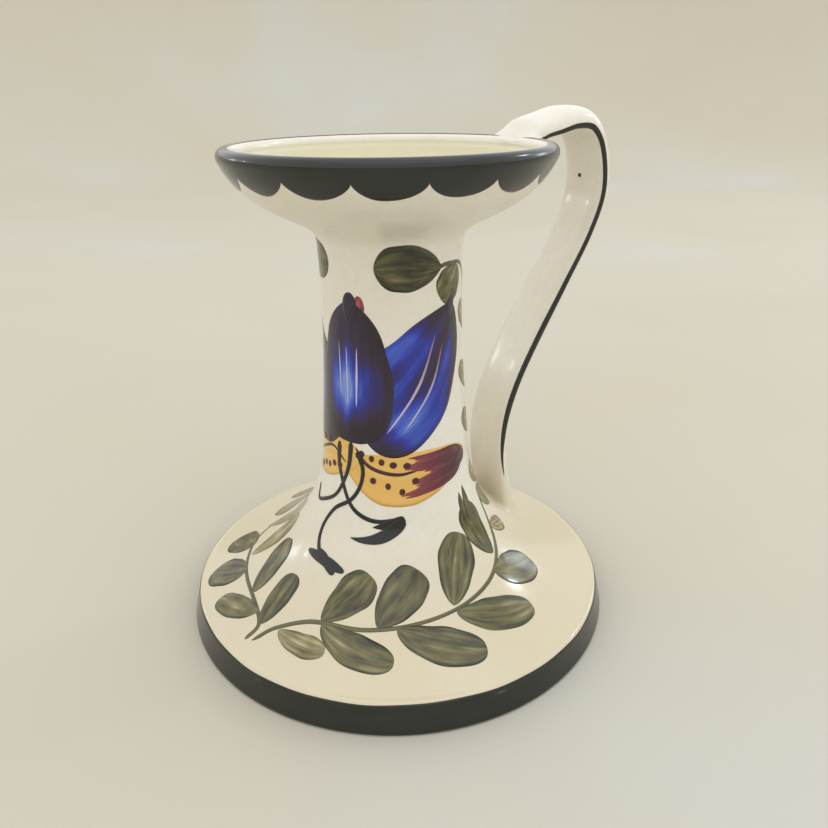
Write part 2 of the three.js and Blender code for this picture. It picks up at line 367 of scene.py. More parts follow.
def paint(name, washes, streaks, blotches, edge, fineness, gap=0.0):
    """Brushed underglaze colour. Each wash is (thickness, red, green, blue), thinnest first.

    The thickness comes from the stroke's own tone, streaks along it, blotches, and the pool of colour at its
    edge. gap thins the colour along the middle, where two brush strokes meet.
    """
    recipe = Recipe(name)
    along, across, seed, tone = (recipe.mark(m) for m in ("along", "across", "seed", "tone"))

    def grain(stretches, detail, roughness):
        """Noise about 0, stretched by its own factor along the stroke, across it and from stroke to stroke."""
        marks = zip((along, across, seed), stretches)
        scaled = {axis: recipe.times(mark, stretch) for axis, (mark, stretch) in enumerate(marks)}
        place = recipe.add("CombineXYZ", scaled).outputs[0]
        return recipe.math("SUBTRACT", recipe.noise(place, 1.0, detail, roughness), 0.5)

    streak = grain((1.5, fineness, 37.0), 4, 0.6)
    blotch = grain((2.6, 1.4, 11.0), 2, 0.5)
    off_centre = recipe.math("ABSOLUTE", across)
    pool = recipe.between(off_centre, 0.72, 1.0)
    thick = recipe.plus(tone, recipe.times(streak, 2 * streaks))
    thick = recipe.plus(thick, recipe.times(blotch, 2 * blotches))
    thick = recipe.plus(thick, recipe.times(pool, edge))
    middle = recipe.one_minus(recipe.between(off_centre, 0.0, 0.22))
    thick = recipe.math("SUBTRACT", thick, recipe.times(middle, gap), clamp=True)
    stops = [(thickness, srgb(*colour)) for thickness, *colour in washes]
    return recipe.gloss(recipe.ramp(thick, stops, smooth=False))


# ---- painted strokes ----
LEAST_HALF_WIDTH = 0.08


class Brushwork:
    """Strokes that become one piece: thin closed slips of colour lying in the glaze."""

    def __init__(self):
        self.points = []
        self.faces = []
        self.smooth = []
        self.marks = {"along": [], "across": [], "seed": [], "tone": []}
        self.count = 0

    def slip(self, top, under, along, across, seed, tone, wrap=False):
        """A closed slip between two grids of points, rows along the stroke.

        With wrap its last row meets its first.
        """
        rows, columns = top.shape[:2]
        shape = (rows, columns)
        number = self.count + np.arange(rows * columns).reshape(shape)
        below = number + rows * columns
        self.count += 2 * rows * columns
        self.points += [*top.reshape(-1, 3), *under.reshape(-1, 3)]
        for mark, value in (("along", along), ("across", across), ("seed", seed), ("tone", tone)):
            flat = np.broadcast_to(value, shape).ravel()
            self.marks[mark] += [*flat, *flat]
        steps = [(i, (i + 1) % rows) for i in range(rows if wrap else rows - 1)]
        for i, k in steps:
            for j in range(columns - 1):
                self.faces.append((number[i, j], number[k, j], number[k, j + 1], number[i, j + 1]))
                self.faces.append((below[i, j], below[i, j + 1], below[k, j + 1], below[k, j]))
                self.smooth += [True, False]
        walls = [((i, 0), (k, 0)) for i, k in steps]
        walls += [((k, columns - 1), (i, columns - 1)) for i, k in steps]
        if not wrap:
            for j in range(columns - 1):
                walls += [((rows - 1, j), (rows - 1, j + 1)), ((0, j + 1), (0, j))]
        for here, after in walls:
            self.faces.append((number[here], below[here], below[after], number[after]))
            self.smooth.append(False)

    def lay(self, angle, run, along, across, tone, layer, wrap=False):
        """A slip from grids of angle and run, with a seed of its own. Higher layers lie over lower ones."""
        seed = (len(self.marks["seed"]) * 0.00137 + layer * 0.31) % 1.0
        lift = PAINT_LIFT + LAYER_LIFT * layer
        top = on_vessel(angle, run, lift)
        under = on_vessel(angle, run, -PAINT_DEPTH)
        self.slip(top, under, along, across, seed, tone, wrap)

    def finish(self, name, material, slot):
        piece = add_piece(name, self.points, self.faces, [material], self.smooth, self.marks)
        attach(piece, "root")


def smooth_line(points, count):
    """Points of a Catmull-Rom curve through all the given ones."""
    p = np.array(points, float)
    p = np.concatenate([[2 * p[0] - p[1]], p, [2 * p[-1] - p[-2]]])
    t = np.linspace(0, len(p) - 3 - 1e-9, count)
    i = t.astype(int)
    u = (t - i)[:, None]
    a, b, c, d = p[i], p[i + 1], p[i + 2], p[i + 3]
    square = (2 * a - 5 * b + 4 * c - d) * u**2
    cube = (3 * b - a - 3 * c + d) * u**3
    return 0.5 * (2 * b + (c - a) * u + square + cube)


def stroke(work, line, left, right, tone, layer, columns, along=None):
    """A stroke along a line of (angle, run) with a width in millimetres on each side, all of one length.

    along gives each point's place in the stroke, from 0 to 1. Without it the points count as evenly spaced.
    """
    angle, run = line.T
    radius = radius_at(run)
    along_x = np.gradient(np.radians(angle)) * radius
    along_y = np.gradient(run)
    length = np.hypot(along_x, along_y)
    side_x, side_y = -along_y / length, along_x / length
    across = np.linspace(-1, 1, columns)[None, :]
    width = np.where(across > 0, left[:, None], right[:, None]) * across
    angles = angle[:, None] + np.degrees(side_x / radius)[:, None] * width
    runs = run[:, None] + side_y[:, None] * width
    along = (np.linspace(0, 1, len(line)) if along is None else along)[:, None]
    if callable(tone):
        tone = tone(along, across)
    work.lay(angles, runs, along, across, tone, layer)


def ribbon(work, points, widths, tone, layer, count, columns=5):
    """A line of the brush through points, with count rows, rounded ends and the given widths on the way."""
    line = smooth_line(points, count)
    where = np.linspace(0, 1, count)
    half = np.interp(where, np.linspace(0, 1, len(widths)), widths) / 2
    half *= np.clip(np.sqrt(np.minimum(where, 1 - where) * count / 3), 0.25, 1)
    stroke(work, line, half, half, tone, layer, columns)


def leaf(work, base, tip, width, bow, tone, layer, blunt, slim, left=1.0, rows=34, columns=15):
    """A leaf-shaped stroke from base to tip.

    bow moves its middle to its left. The lower blunt and slim are, the rounder its tip and its base. left
    widens its left half.
    """
    base, tip = np.array(base, float), np.array(tip, float)
    u = (1 - np.cos(np.linspace(0, math.pi, rows))) / 2
    middle_radius = radius_at((base[1] + tip[1]) / 2)
    chord = np.array([math.radians(tip[0] - base[0]) * middle_radius, tip[1] - base[1]])
    side = np.array([-chord[1], chord[0]]) / np.linalg.norm(chord)
    shift = np.outer(4 * u * (1 - u) * bow, [side[0] / math.radians(1) / middle_radius, side[1]])
    line = base + u[:, None] * (tip - base) + shift
    swell = u**slim * (1 - u) ** blunt
    peak = slim / (slim + blunt)
    swell /= peak**slim * (1 - peak) ** blunt
    phase = base[0] * 0.7 + tip[1]
    ripple = 1 + 0.025 * np.sin(9 * u + phase) + 0.02 * np.sin(17 * u + 2 * phase)
    half = np.maximum(width / 2 * swell * ripple, LEAST_HALF_WIDTH)
    stroke(work, line, half * left, half, tone, layer, columns, u)


def dot(work, place, width, height, tone, layer):
    angle, run = place
    base, tip = (angle, run - height / 2), (angle, run + height / 2)
    leaf(work, base, tip, width, 0, tone, layer, 0.5, 0.5, rows=11, columns=7)


# ---- body ----
foot_inside = [(FOOT_INNER, 5.4), (FOOT_INNER, 0.4)]
body_line = np.concatenate([edge_line, wall_line, lip_line[1:], inner_line, foot_inside])
is_inside = np.arange(len(body_line)) >= len(edge_line) + len(wall_line) + len(lip_line) - 2
inside_mark = {"inside": np.repeat(is_inside.astype(float), ROUND_STEPS)}
body_faces = tube_faces(len(body_line), ROUND_STEPS, True)
body = add_piece("glazed_body", turned(body_line), body_faces, [glazed_vessel()], None, inside_mark)
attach(body, "root")
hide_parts("foot_shell", "column", "bowl", "column_foot_slip", "column_bowl_slip")

# The floor is a disc with a low turned recess underneath, bare below and glazed where it shows down the throat.
underside = [(0.4, 1.1), (14, 1.05), (30, 1.0), (46, 0.95), (54, 0.85), (57, 0.55), (58.5, 0.42), (61.3, 0.42)]
upper_side = [(61.45, 0.6)] + [(radius, FLOOR_THICKNESS) for radius in (61.45, 40, 20, 0.4)]
base_line = np.array(underside + upper_side)
base_faces = tube_faces(len(base_line), ROUND_STEPS, False)
base_faces.append(tuple(range(ROUND_STEPS))[::-1])
base_faces.append(tuple((len(base_line) - 1) * ROUND_STEPS + j for j in range(ROUND_STEPS)))
on_top = [min(face) >= len(underside) * ROUND_STEPS for face in base_faces]
base = add_piece("bare_base", turned(base_line), base_faces, [bare_clay(), glazed_strap()], None, None, on_top)
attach(base, "root")
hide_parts("floor_disc", "floor_slip")

# ---- handle ----
SECTION_STEPS = 44
FILLET_STEPS = 10
FREE_RINGS = 120  # rings of the strap before its ends are replaced by fillets
STRAP_EDGE = 1.5  # the strap's long edges lie this far out from its inner face
INNER_POWER, OUTER_POWER = 2 / 3.4, 2 / 2.3  # the lower the power, the flatter that side of the strap
# The middle line of the strap as (out from the axis, up), from inside the lip to inside the foot.
HANDLE_PATH = [
    (42.6, 135.5), (43.1, 139.6), (46.8, 141.9), (52.4, 143.2), (59.8, 144.7),
    (67.2, 143.4), (72.3, 136.0), (73.9, 123.0), (69.2, 110.0), (60.0, 95.0),
    (50.2, 79.4), (42.6, 65.6), (38.4, 53.5), (37.3, 42.0), (38.6, 31.5),
]
# The strap's thickness and width, each at shares of its length.
THICKNESS_AT = ([0, 0.05, 0.12, 0.3, 0.6, 0.9, 1], [5.6, 6.4, 7.0, 6.3, 5.8, 6.0, 6.4])
WIDTH_AT = ([0, 0.08, 0.2, 0.6, 0.93, 1], [18.5, 17.4, 16.8, 17, 17.4, 18.2])


def handle_section(width, thickness):
    """The strap's outline, to the side and outwards: nearly flat inside, with narrow edges and a domed outside."""
    turn = np.linspace(0, 2 * math.pi, SECTION_STEPS, endpoint=False)
    cosine, sine = np.cos(turn), np.sin(turn)
    power = np.where(sine < 0, INNER_POWER, OUTER_POWER)
    reach = np.where(sine < 0, STRAP_EDGE, thickness - STRAP_EDGE)
    side = width / 2 * np.sign(cosine) * np.abs(cosine) ** power
    out = STRAP_EDGE - thickness / 2 + reach * np.sign(sine) * np.abs(sine) ** power
    return side, out


def sweep_handle():
    """Rings of points of the free strap, from the lip to the foot, and the direction of the strap at each ring."""
    path = smooth_line(HANDLE_PATH, 150)
    length = np.concatenate([[0], np.cumsum(np.linalg.norm(np.diff(path, axis=0), axis=1))])
    even = np.linspace(0, length[-1], FREE_RINGS)
    path = np.stack([np.interp(even, length, path[:, k]) for k in (0, 1)], 1)
    along = np.gradient(path, axis=0)
    along /= np.linalg.norm(along, axis=1)[:, None]
    share = even / length[-1]
    thickness = np.interp(share, *THICKNESS_AT)
    width = np.interp(share, *WIDTH_AT)
    rings = []
    for (x, z), (ax, az), t, w in zip(path, along, thickness, width):
        side, out = handle_section(w, t)
        rings.append(np.stack([x - az * out, side, z + ax * out], 1))
    return np.array(rings), np.stack([along[:, 0], 0 * along[:, 0], along[:, 1]], 1)


fine_run = np.arange(RUN[0], RUN[-1], FINE_STEP)
FINE_OUTER, FINE_NORMAL = (
    np.stack([np.interp(fine_run, RUN, line[:, k]) for k in (0, 1)], 1) for line in (OUTER, OUTER_NORMAL)
)


def nearest_on_vessel(points, lift=0.0):
    """The closest points of the vessel's surface, in millimetres."""
    radius = np.hypot(points[:, 0], points[:, 1])
    gap = np.hypot(radius[:, None] - FINE_OUTER[:, 0], points[:, 2][:, None] - FINE_OUTER[:, 1])
    i = gap.argmin(1)
    target = FINE_OUTER[i] + FINE_NORMAL[i] * lift
    target_radius = target[:, 0] + wobble(np.arctan2(points[:, 0], -points[:, 1]), target[:, 1])
    scale = target_radius / np.maximum(radius, 1e-6)
    return np.stack([points[:, 0] * scale, points[:, 1] * scale, target[:, 1]], 1)


def inside_vessel(points):
    """Whether points lie inside the vessel filled up to its lip."""
    radius = np.hypot(points[..., 0], points[..., 1])
    height = points[..., 2]
    rising = OUTER[2 : len(edge_line) + len(wall_line) + 9]  # the part of the outline that only goes up
    limit = np.interp(height, rising[:, 1], rising[:, 0])
    return (radius < limit) & (height < RIM_HEIGHT)


def evened(loop, passes):
    """A closed loop of points with its small steps smoothed away."""
    for _ in range(passes):
        loop = (np.roll(loop, 1, 0) + 2 * loop + np.roll(loop, -1, 0)) / 4
    return loop


AHEAD = np.linspace(0, 25, 251)  # how far ahead of the strap its way into the vessel is looked for
NO_HIT = 40  # the step of AHEAD that is taken where a point's way misses the vessel
LANDING_MARGIN = 1.1  # the last ring of a fillet lies this far beyond its landing
LANDING_DEPTH = 0.3  # and this far inside the glaze


def fillet(ring, direction, spread_side, spread_out):
    """Rings that carry a ring of the strap to the vessel in a hollow curve, the last one just inside it."""
    ahead = ring[:, None, :] + direction * AHEAD[None, :, None]
    hit = inside_vessel(ahead)
    first = np.where(hit.any(1), hit.argmax(1), NO_HIT)
    corner = nearest_on_vessel(ahead[np.arange(len(ring)), first])
    outward = ring - ring.mean(0)
    outward -= (outward @ direction)[:, None] * direction
    outward /= np.linalg.norm(outward, axis=1)[:, None]
    sideways = np.abs(outward[:, 1:2])
    spread = spread_out + (spread_side - spread_out) * sideways
    corner = evened(corner, 2)
    landing = nearest_on_vessel(evened(nearest_on_vessel(corner + outward * spread), 6))
    rings = []
    for t in np.linspace(0, 1, FILLET_STEPS + 1)[1:]:
        points = ring * (1 - t) ** 2 + corner * 2 * t * (1 - t) + landing * t**2
        surface = nearest_on_vessel(points, 0.02)
        buried = inside_vessel(points) & (points[:, 2:3] < RIM_HEIGHT - 4)[:, 0]
        points[buried] = surface[buried]
        rings.append(evened(points, 1 + round(3 * t)))
    rings.append(nearest_on_vessel(evened(landing + outward * LANDING_MARGIN, 4), -LANDING_DEPTH))
    return rings


free_rings, directions = sweep_handle()
top_ring = 6
bottom_ring = FREE_RINGS - 5
rim_fillet = fillet(free_rings[top_ring], -directions[top_ring], 3.4, 2.0)
foot_fillet = fillet(free_rings[bottom_ring], directions[bottom_ring], 5.0, 5.5)
handle_rings = np.array([*rim_fillet[::-1], *free_rings[top_ring : bottom_ring + 1], *foot_fillet])
ring_count = len(handle_rings)
# Seen along the strap from the lip, its outline runs clockwise, so the quads are turned round to face out.
handle_faces = [face[::-1] for face in tube_faces(ring_count, SECTION_STEPS, False)]
handle_faces.append(tuple(range(SECTION_STEPS)))
handle_faces.append(tuple((ring_count - 1) * SECTION_STEPS + j for j in range(SECTION_STEPS))[::-1])
handle = add_piece("handle_strap", handle_rings.reshape(-1, 3) * MM, handle_faces, [glazed_strap()])
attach(handle, "root")
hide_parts("handle", "handle_rim_slip", "handle_foot_slip", "handle_rim_coil", "handle_foot_coil")

# ---- colours ----
olive = paint(
    "olive_paint",
    [(0.0, 190, 178, 140), (0.25, 142, 132, 92), (0.5, 106, 100, 58), (0.75, 68, 67, 38), (1.0, 34, 37, 23)],
    streaks=0.66, blotches=0.46, edge=0.2, fineness=3.4, gap=0.1,
)
band_paint = paint(
    "dark_band_paint",
    [(0.0, 150, 144, 120), (0.3, 72, 75, 62), (0.6, 34, 38, 32), (1.0, 14, 17, 14)],
    streaks=0.22, blotches=0.2, edge=0.1, fineness=3.4,
)
blue_paint = paint(
    "blue_paint",
    [
        (0.0, 118, 144, 218), (0.2, 66, 96, 200), (0.42, 34, 52, 166),
        (0.6, 36, 34, 112), (0.78, 46, 32, 62), (1.0, 30, 22, 34),
    ],
    streaks=0.42, blotches=0.34, edge=0.08, fineness=4.4,
)
ochre_paint = paint(
    "ochre_paint",
    [(0.0, 238, 214, 158), (0.4, 236, 190, 104), (0.7, 226, 168, 78), (1.0, 196, 130, 56)],
    streaks=0.2, blotches=0.2, edge=0.12, fineness=4.0,
)
maroon_paint = paint(
    "maroon_paint",
    [(0.0, 226, 168, 98), (0.25, 176, 96, 84), (0.5, 132, 54, 66), (0.75, 88, 32, 46), (1.0, 50, 20, 30)],
    streaks=0.5, blotches=0.4, edge=0.0, fineness=3.0,
)
black_paint = paint(
    "black_line_paint",
    [(0.0, 84, 84, 76), (0.35, 30, 32, 28), (1.0, 8, 10, 9)],
    streaks=0.15, blotches=0.1, edge=0.05, fineness=2.0,
)
pale_paint = paint(
    "pale_line_paint",
    [(0.0, 120, 130, 205), (0.5, 206, 202, 228), (1.0, 158, 100, 122)],
    streaks=0.25, blotches=0.2, edge=-0.2, fineness=2.0,
)


# ---- bands ----
HANDLE_ANGLE = 120.0
BAND_GRAIN = 24  # degrees of a band that count as one length of a stroke


def turn_from(angle, other):
    """How far angle lies to the right of other, from -180 to 180 degrees."""
    return (angle - other + 180) % 360 - 180


def lay_band(work, angle, run, up_band, tone):
    """A slip all round the vessel. up_band goes from 0 at its lower edge to 1, and stays clear of the pooled edges."""
    work.lay(angle + 0 * run, run, angle / BAND_GRAIN, up_band * 1.6 - 0.8, tone, 1, True)


# ---- the band of scallops under the lip ----
SCALLOPS = 16
SCALLOP_START = -11.0  # angle of one cusp
CUSP_RUN = LIP_RUN - 2.6
JOIN_RUN = CUSP_RUN + 0.5  # above this the rows of the band's points run level round the lip
SCALLOP_DEPTH = 4.7
BAND_TOP = LIP_RUN + 5.3
FIRST_SCALLOP = 6  # the band starts with this one, behind the handle

pitch = 360 / SCALLOPS
within = (1 - np.cos(np.linspace(0, math.pi, 25)[:-1])) / 2  # closer together near the cusps
number = np.repeat(np.arange(SCALLOPS) + FIRST_SCALLOP, len(within))[:, None]
place = 2 * np.tile(within, SCALLOPS)[:, None] - 1
angle = SCALLOP_START + pitch * (number + (place + 1) / 2)
depth = SCALLOP_DEPTH + 0.4 * np.sin(2.1 * number) + 0.2 * np.sin(3 * place + number)
edge = CUSP_RUN + 0.4 * np.sin(1.7 * number) * (1 - np.abs(place)) - depth * (1 - place**2) ** 0.7
rising = edge + (JOIN_RUN - edge) * np.linspace(0, 1, 14)
level = np.linspace(JOIN_RUN, BAND_TOP, 31)[1:] + 0 * angle
run = np.concatenate([rising, level], 1)
up_band = (run - edge) / (BAND_TOP - edge)
away = np.abs(turn_from(angle, HANDLE_ANGLE))
fade = np.clip(1 - (away - 12) / 22, 0, 1)
tone = 0.8 - 0.4 * fade * (1 - up_band) - 0.14 * np.clip(1 - up_band / 0.1, 0, 1)
rim_band = Brushwork()
lay_band(rim_band, angle, run, up_band, tone)
rim_band.finish("rim_band", band_paint, "glazed_body")

# ---- the band round the foot, with a few places where the brush or a knock left it thin ----
CHIP_ANGLES = (-37, 24, 141, 233)
CHIP_WIDTH = 1.6  # in degrees
CHIP_PLACE, CHIP_HEIGHT = 0.84, 0.05  # as shares of the band's height

angle = HANDLE_ANGLE + np.arange(360)[:, None]
turn = np.radians(angle)
top = -1.4 + 0.12 * np.sin(5 * turn + 1) + 0.08 * np.sin(11 * turn) + 0.05 * np.sin(23 * turn + 2)
# The rows of points follow the outline's own points round the lower edge, or the body would show through.
rounded = np.concatenate([RUN[3:8], np.linspace(RUN[7], RUN[9], 9)[1:]])
upper = RUN[9] + (top - RUN[9]) * np.linspace(0, 1, 12)[1:]
run = np.concatenate([rounded + 0 * angle, upper], 1)
up_band = (run - RUN[3]) / (top - RUN[3])
chips = sum(
    np.exp(-((turn_from(angle, at) / CHIP_WIDTH) ** 2) - ((up_band - CHIP_PLACE) / CHIP_HEIGHT) ** 2)
    for at in CHIP_ANGLES
)
tone = 0.8 - 0.25 * np.clip((up_band - 0.94) / 0.06, 0, 1) - 0.5 * chips
foot_band = Brushwork()
lay_band(foot_band, angle, run, up_band, tone)
foot_band.finish("foot_band", band_paint, "glazed_body")

# ---- the wreath on the foot: two sprays that start from one point, repeated on the far side ----
LONG_STEM = [
    (-46, 5), (-42, 12), (-31, 18), (-12, 19), (8, 21), (30, 24), (48, 28), (62, 34), (72, 42), (77, 50),
]
SHORT_STEM = [(-48, 4), (-49, 10), (-60, 13.5), (-80, 15), (-96, 18), (-104, 26), (-100, 38)]
# Each leaf: base, tip, width, bow to its left, tone.
WREATH_LEAVES = [
    ((-41, 11.5), (-23, 11), 6.9, -0.6, 0.36),
    ((-29, 19), (-14, 34.5), 11.4, 0.5, 0.6),
    ((-28, 17.8), (-2, 10), 9.7, -0.8, 0.58),
    ((-8, 20), (10, 36), 12.6, 0.8, 0.66),
    ((-1, 19.5), (26, 9.4), 11.2, -0.4, 0.64),
    ((22, 24), (40, 43), 11.8, 1.0, 0.64),
    ((22, 22), (50, 13.6), 10.6, -0.5, 0.56),
    ((48, 28), (70, 21), 11.8, -0.4, 0.54),
    ((55, 32), (54, 50), 9.8, 0.6, 0.62),
    ((68, 38), (82, 34), 5.6, 0.0, 0.26),
    ((-53, 12.4), (-69, 4.6), 8.4, 0.4, 0.56),
    ((-76, 15), (-84, 3.4), 12.6, 0.4, 0.6),
    ((-91, 17.5), (-100, 8), 11.6, 0.3, 0.62),
    ((-48, 10), (-52, 27), 8.4, 0.4, 0.62),
    ((-62, 14), (-75, 32), 8.6, -0.5, 0.62),
    ((-84, 16.5), (-90, 37), 7.8, -0.6, 0.26),
    ((-102, 20), (-95, 41), 6.0, 0.6, 0.24),
]
# On the far side the short spray is left out, and the long one starts clear of the handle.
CLEAR_ANGLE = 152
FAR_START = -32
wreath = Brushwork()
ribbon(wreath, LONG_STEM, (1.3, 1.4, 1.1, 1.2, 0.8), 0.6, 0, 110)
ribbon(wreath, SHORT_STEM, (1.4, 1.2, 1.0, 0.8), 0.62, 0, 80)
ribbon(wreath, [(a + 180, r) for a, r in LONG_STEM[2:]], (0.9, 1.3, 1.1, 1.2, 0.8), 0.6, 0, 90)
for half_turn in (0, 180):
    for base_place, tip_place, width, bow, tone in WREATH_LEAVES:
        shift = np.array([half_turn, 0])
        if half_turn == 0 or (base_place[0] > FAR_START and tip_place[0] + half_turn > CLEAR_ANGLE):
            leaf(wreath, base_place + shift, tip_place + shift, width, bow, tone, 1, 0.4, 0.66)
for tip_place, bend in (((50, 54), 0.8), ((55, 55.5), -0.4)):
    leaf(wreath, (54, 44), tip_place, 3.0, bend, 0.68, 2, 0.9, 0.5, rows=20, columns=7)
wreath.finish("foot_wreath", olive, "glazed_body")

# ---- leaves high on the column and down its side ----
column_leaves = Brushwork()
RIGHT_STEM = [(34, 122), (50, 122.6), (68, 121), (84, 113), (92, 98), (93, 80), (90, 62), (88, 46)]
LEFT_STEM = [(-92, 123), (-110, 121), (-128, 112), (-136, 98), (-137, 80), (-135, 62)]
FAR_STEM = [(150, 114), (149, 98), (149.6, 80), (149, 62), (148, 46)]
ribbon(column_leaves, RIGHT_STEM, (1.2, 0.9, 0.8, 0.7), 0.66, 0, 90)
leaf(column_leaves, (40, 122), (-13, 122.6), 12.8, -0.4, 0.76, 1, 0.56, 0.8)
leaf(column_leaves, (61, 121.4), (39, 113.8), 10.6, 0.5, 0.62, 1, 0.42, 0.55)
leaf(column_leaves, (-98, 123), (-55, 122.4), 10.6, 0.3, 0.66, 1, 0.46, 0.6)
ribbon(column_leaves, LEFT_STEM, (1.1, 0.8, 0.7), 0.66, 0, 70)
ribbon(column_leaves, FAR_STEM, (0.7, 0.8, 0.8, 0.7), 0.66, 0, 70)
# Each leaf down the side: run of its base, run of its tip, length in degrees.
SIDE_LEAVES = [(101, 110, 24), (83, 92, 26), (68, 77, 25), (50, 58, 17), (40, 49, 14)]
for stem_angle, away in ((91, -1), (149, 1), (-136, 1), (-136, -1)):
    for low, high, reach in SIDE_LEAVES:
        tip_angle = stem_angle + away * reach
        leaf(column_leaves, (stem_angle, low), (tip_angle, high), 6.8, 0.3 * away, 0.4, 1, 0.42, 0.6)
column_leaves.finish("column_leaves", olive, "glazed_body")

# ---- the flower: ochre sepals, three blue petals, their veins and the long stamens ----
SEPAL_LINE = [(-38, 67), (-22, 64.5), (-8, 63), (10, 62.9), (30, 64.3), (46, 65.8), (58, 65.8), (65, 65.4)]
sepals = Brushwork()
ribbon(sepals, SEPAL_LINE, (6, 12.5, 16.4, 16.6, 13.8, 9.6, 5.4, 1.6), 0.42, 0, 70, 19)
leaf(sepals, (-27, 70), (-122, 66.5), 15.0, 2.4, 0.42, 0, 0.36, 0.45, rows=40, columns=17)
sepals.finish("flower_sepals", ochre_paint, "glazed_body")


def petal_tone(bright_u, bright_v, size_u, size_v, dark, light):
    """Tone of a petal: light round one place, dark away from it, and darkest at its base."""

    def tone(along, across):
        distance = ((along - bright_u) / size_u) ** 2 + ((across - bright_v) / size_v) ** 2
        foot = 0.3 * np.clip(1 - along / 0.2, 0, 1)
        return dark - (dark - light) * np.exp(-distance) + foot

    return tone


def right_petal_tone(along, across):
    """Royal blue with a dark streak up the middle, between the veins, and a dark tip, base and far edge."""
    streak = 0.46 * np.exp(-(((across + 0.12) / 0.22) ** 2)) * np.clip((along - 0.25) / 0.2, 0, 1)
    tip = 0.45 * np.clip((along - 0.7) / 0.24, 0, 1)
    shade = 0.3 * np.clip((along - 0.45) / 0.25, 0, 1) * np.clip((-across - 0.35) / 0.4, 0, 1)
    foot = 0.5 * np.clip((0.2 - along) / 0.12, 0, 1)
    bright = 0.2 * np.exp(-(((along - 0.3) / 0.16) ** 2) - ((across + 0.35) / 0.4) ** 2)
    return 0.42 + streak + tip + shade + foot - bright


petals = Brushwork()
left_tone = petal_tone(0.5, 0, 0.34, 0.5, 0.8, 0.3)
middle_tone = petal_tone(0.42, 0.14, 0.21, 0.56, 0.9, 0.0)
leaf(petals, (-46, 74), (-120, 113), 26, 3.0, left_tone, 1, 0.8, 0.36, rows=60, columns=31)
leaf(petals, (-25, 75.4), (53, 111.8), 26.5, -2.8, right_petal_tone, 2, 0.66, 0.33, 1.14, 60, 31)
leaf(petals, (48, 108.6), (53.6, 113.6), 3.2, 0, 0.9, 3, 0.5, 0.4, rows=16, columns=7)
leaf(petals, (-37, 72.8), (-34.5, 113.6), 26.2, 0, middle_tone, 3, 0.6, 0.36, rows=60, columns=31)
leaf(petals, (-35, 107.6), (-34.6, 116.0), 4.6, 0, 0.9, 4, 0.45, 0.5, rows=20, columns=7)
petals.finish("flower_petals", blue_paint, "glazed_body")

veins = Brushwork()
for start, end, width, tone, bend in (
    ((-47, 102), (-45, 86), 0.5, 0.35, 0),
    ((-39, 101), (-38, 84), 0.55, 0.4, 0),
    ((-29, 101), (-30, 84), 0.7, 0.55, 0),
    ((34, 104), (-6, 77), 0.8, lambda u, v: 1 - 0.5 * u + 0 * v, 5),
    ((41, 101), (8, 78), 0.65, lambda u, v: 1 - 0.45 * u + 0 * v, 5),
):
    middle = ((start[0] + end[0]) / 2 + bend, (start[1] + end[1]) / 2)
    ribbon(veins, [start, middle, end], (0.3 * width, width, 0.5 * width), tone, 5, 30)
veins.finish("petal_veins", pale_paint, "glazed_body")

BRISTLES = 19
maroon = Brushwork()
for k in range(BRISTLES):
    share = k / (BRISTLES - 1)
    short = 13 * math.exp(-(((share - 0.5) / 0.16) ** 2))
    end = (9 + short + 5.5 * math.sin(7.3 * k), 69.2 - 12.2 * share)
    sweep = [(62, 66.4 - 1.6 * share), (46, 69.0 - 8.6 * share), end]
    ribbon(maroon, sweep, (1.4, 2.0, 0.8), lambda u, v: 0.95 - 0.5 * u**2 - 0.1 * v**2, 1 + 0.2 * k, 34, 7)
leaf(maroon, (63, 65.8), (44, 62), 4.6, 0, 0.92, 5, 0.9, 0.4, columns=9)
dot(maroon, (-26.4, 112.0), 3.4, 6.6, 0.5, 2)
ribbon(maroon, [(-31, 71.5), (-20, 66.5), (0, 64.4), (18, 65.4)], (0.8, 1.2, 1.1, 0.6), 0.85, 2, 40)
ribbon(maroon, [(-40, 66), (-54, 69.4), (-68, 67.6), (-84, 64)], (0.6, 1.0, 0.8), 0.85, 2, 40)
RIGHT_DOTS = [
    (-26, 70), (-18, 69), (-10.5, 68.2), (-2, 67.4), (8, 67), (-17, 62.2), (-6, 60.8), (4, 59), (14, 62),
]
LEFT_DOTS = [(-47, 64.4), (-54, 64), (-61, 62.6), (-68, 62), (-76, 60.4), (-62, 71), (-72, 70)]
for k, place in enumerate(RIGHT_DOTS + LEFT_DOTS):
    dot(maroon, place, 1.9 + 0.35 * math.sin(5.0 * k), 2.0, 0.9, 6)
maroon.finish("sepal_markings", maroon_paint, "glazed_body")

RIGHT_STAMEN = [(-47, 72), (-47.5, 65), (-43, 59.5), (-36, 54.4), (-27, 51.4), (-14, 50), (2, 51)]
LEFT_STAMEN = [(-35, 73), (-37, 66), (-42, 60), (-49, 54.6), (-60, 51.2), (-70, 49.6), (-75, 53.6)]
LONG_STAMEN = [
    (-28, 69), (-25, 65), (-27, 60), (-34, 55), (-47, 50.5), (-53, 45), (-52, 40), (-46, 35.6),
]
stamens = Brushwork()
ribbon(stamens, RIGHT_STAMEN, (1.9, 1.3, 1.2, 1.3, 1.1), 0.7, 6, 90)
ribbon(stamens, LEFT_STAMEN, (1.7, 1.2, 1.1, 1.2, 0.9), 0.7, 7, 90)
ribbon(stamens, LONG_STAMEN, (1.4, 1.1, 1.2, 1.1, 1.3), 0.7, 8, 100)
dot(stamens, (-28, 69.4), 2.4, 2.4, 0.7, 8)
leaf(stamens, (5, 51), (-16, 48.2), 3.0, 0.4, 0.72, 7, 0.8, 0.3)
leaf(stamens, (4, 50.6), (-30, 44), 3.8, 2.2, 0.72, 9, 0.8, 0.26)
